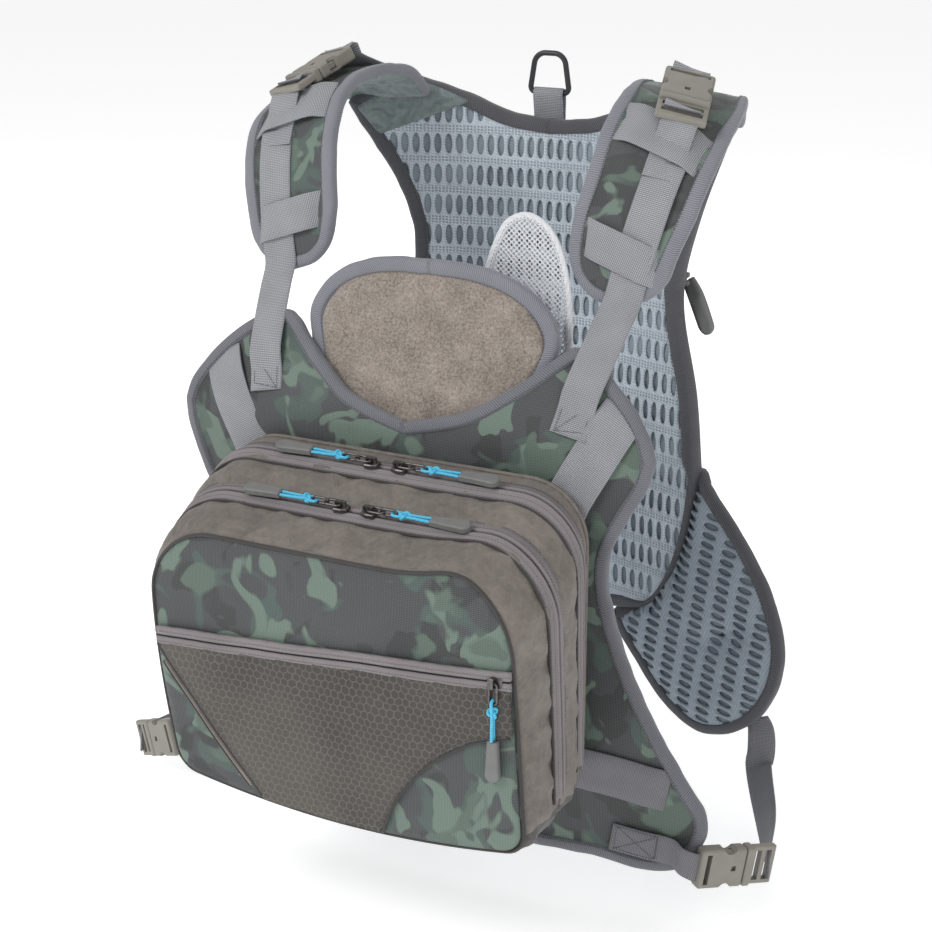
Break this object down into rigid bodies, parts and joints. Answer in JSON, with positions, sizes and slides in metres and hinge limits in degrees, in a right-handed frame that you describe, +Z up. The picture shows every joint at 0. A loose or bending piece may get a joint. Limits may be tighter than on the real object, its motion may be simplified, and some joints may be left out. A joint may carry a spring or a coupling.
{
  "type": "fishing vest",
  "caption": "Sleeveless harness vest with a meshed back, padded straps, waist wings, side-release buckles and a zipped clamshell chest bag.",
  "frame": {"origin": "midpoint between the two shoulders, level with the top of the padded straps", "axes": "+Z up the wearer's spine, +X to the wearer's left, -Y to the wearer's front"},
  "size_m": [0.5074, 0.3556, 0.5342],
  "materials": {
    "spacer_mesh": "open knitted spacer mesh with long oval holes",
    "foam": "closed-cell foam sheet",
    "camo_shell": "woven oxford printed with soft-edged green and charcoal blotches",
    "zip_tape": "knitted zip tape over a nylon coil",
    "webbing": "ribbed polyester webbing",
    "buckle_plastic": "moulded acetal, lightly grained",
    "bag_fabric": "ripstop nylon with a faint honeycomb",
    "binding": "twill binding tape",
    "fly_felt": "short pile felt",
    "fine_mesh": "fine knitted mesh",
    "slider_metal": "black nickel",
    "pull_cord": "braided cord",
    "pull_rubber": "matt moulded rubber",
    "ring_plastic": "black moulded nylon"
  },
  "bodies": {
    "harness": {"back_mesh": "spacer_mesh", "shoulder_linings": "spacer_mesh", "front_lining": "spacer_mesh", "wing_linings": "spacer_mesh", "back_foam": "foam", "back_shell": "camo_shell", "back_pocket": "camo_shell", "shoulder_pad_left": "camo_shell", "shoulder_pad_right": "camo_shell", "front_panel": "camo_shell", "waist_wing_left": "camo_shell", "waist_wing_right": "camo_shell", "back_pocket_zip": "zip_tape", "rear_zip_tape": "zip_tape", "strap_keepers": "webbing", "chest_webbing": "webbing", "bag_straps": "webbing", "waist_tabs": "webbing", "d_ring_loop": "webbing", "shoulder_plugs": "buckle_plastic", "waist_sockets": "buckle_plastic", "bag_rear_shell": "bag_fabric", "fly_patch": "binding", "fly_patch_felt": "fly_felt", "mesh_tongue": "fine_mesh"},
    "bag_middle": {"bag_middle_shell": "bag_fabric", "middle_zip_tapes": "zip_tape"},
    "bag_front": {"bag_front_shell": "camo_shell", "front_zip_tape": "zip_tape", "pocket_panel": "bag_fabric", "pocket_zip": "zip_tape"},
    "rear_left_slider": {"rear_left_slider": "slider_metal"},
    "rear_left_pull": {"rear_left_link": "slider_metal", "rear_left_cord": "pull_cord", "rear_left_grip": "pull_rubber"},
    "rear_right_slider": {"rear_right_slider": "slider_metal"},
    "rear_right_pull": {"rear_right_link": "slider_metal", "rear_right_cord": "pull_cord", "rear_right_grip": "pull_rubber"},
    "front_left_slider": {"front_left_slider": "slider_metal"},
    "front_left_pull": {"front_left_link": "slider_metal", "front_left_cord": "pull_cord", "front_left_grip": "pull_rubber"},
    "front_right_slider": {"front_right_slider": "slider_metal"},
    "front_right_pull": {"front_right_link": "slider_metal", "front_right_cord": "pull_cord", "front_right_grip": "pull_rubber"},
    "pocket_slider": {"pocket_slider": "slider_metal"},
    "pocket_pull": {"pocket_link": "slider_metal", "pocket_cord": "pull_cord", "pocket_grip": "pull_rubber"},
    "shoulder_socket_left": {"shoulder_socket_left": "buckle_plastic", "shoulder_loop_left": "webbing"},
    "waist_plug_left": {"waist_plug_left": "buckle_plastic", "waist_webbing_left": "webbing"},
    "shoulder_socket_right": {"shoulder_socket_right": "buckle_plastic", "shoulder_loop_right": "webbing"},
    "waist_plug_right": {"waist_plug_right": "buckle_plastic", "waist_webbing_right": "webbing"},
    "d_ring": {"d_ring": "ring_plastic"}
  },
  "joints": [
    {"name": "main_compartment_opens", "type": "hinge", "parent": "harness", "child": "bag_middle", "pos_m": [0, -0.141, -0.42], "axis": [1, 0, 0], "range_deg": [0, 55]},
    {"name": "front_compartment_opens", "type": "hinge", "parent": "bag_middle", "child": "bag_front", "pos_m": [0, -0.18, -0.422], "axis": [1, 0, 0], "range_deg": [0, 50]},
    {"name": "rear_left_zip_slides", "type": "slide", "parent": "harness", "child": "rear_left_slider", "axis": [1, 0, 0], "range_m": [0, 0.07]},
    {"name": "rear_left_pull_lifts", "type": "hinge", "parent": "rear_left_slider", "child": "rear_left_pull", "pos_m": [0.01, -0.14229, -0.21909], "axis": [0, -0.9563, -0.2924], "range_deg": [0, 85]},
    {"name": "rear_right_zip_slides", "type": "slide", "parent": "harness", "child": "rear_right_slider", "axis": [-1, 0, 0], "range_m": [0, 0.07]},
    {"name": "rear_right_pull_lifts", "type": "hinge", "parent": "rear_right_slider", "child": "rear_right_pull", "pos_m": [-0.01, -0.14229, -0.21909], "axis": [0, 0.9563, 0.2924], "range_deg": [0, 85]},
    {"name": "front_left_zip_slides", "type": "slide", "parent": "bag_middle", "child": "front_left_slider", "axis": [1, 0, 0], "range_m": [0, 0.07]},
    {"name": "front_left_pull_lifts", "type": "hinge", "parent": "front_left_slider", "child": "front_left_pull", "pos_m": [0.01, -0.18129, -0.23609], "axis": [0, -0.9563, -0.2924], "range_deg": [0, 85]},
    {"name": "front_right_zip_slides", "type": "slide", "parent": "bag_middle", "child": "front_right_slider", "axis": [-1, 0, 0], "range_m": [0, 0.07]},
    {"name": "front_right_pull_lifts", "type": "hinge", "parent": "front_right_slider", "child": "front_right_pull", "pos_m": [-0.01, -0.18129, -0.23609], "axis": [0, 0.9563, 0.2924], "range_deg": [0, 85]},
    {"name": "pocket_zip_slides", "type": "slide", "parent": "bag_front", "child": "pocket_slider", "axis": [-0.9967, 0, -0.0817], "range_m": [0, 0.215]},
    {"name": "pocket_pull_lifts", "type": "hinge", "parent": "pocket_slider", "child": "pocket_pull", "pos_m": [0.119, -0.2275, -0.31125], "axis": [-1, 0, 0], "range_deg": [0, 110]},
    {"name": "shoulder_buckle_left_releases", "type": "slide", "parent": "harness", "child": "shoulder_socket_left", "axis": [-0.2399, 0.9083, 0.3427], "range_m": [0, 0.026]},
    {"name": "waist_buckle_left_releases", "type": "slide", "parent": "harness", "child": "waist_plug_left", "axis": [0.6361, 0.7533, -0.1674], "range_m": [0, 0.026]},
    {"name": "shoulder_buckle_right_releases", "type": "slide", "parent": "harness", "child": "shoulder_socket_right", "axis": [0.2399, 0.9083, 0.3427], "range_m": [0, 0.026]},
    {"name": "waist_buckle_right_releases", "type": "slide", "parent": "harness", "child": "waist_plug_right", "axis": [-0.8496, 0.3641, -0.3815], "range_m": [0, 0.026]},
    {"name": "d_ring_swings", "type": "hinge", "parent": "harness", "child": "d_ring", "pos_m": [-0.007, 0.1173, -0.018], "axis": [1, 0, 0], "range_deg": [-105, 60]}
  ]
}
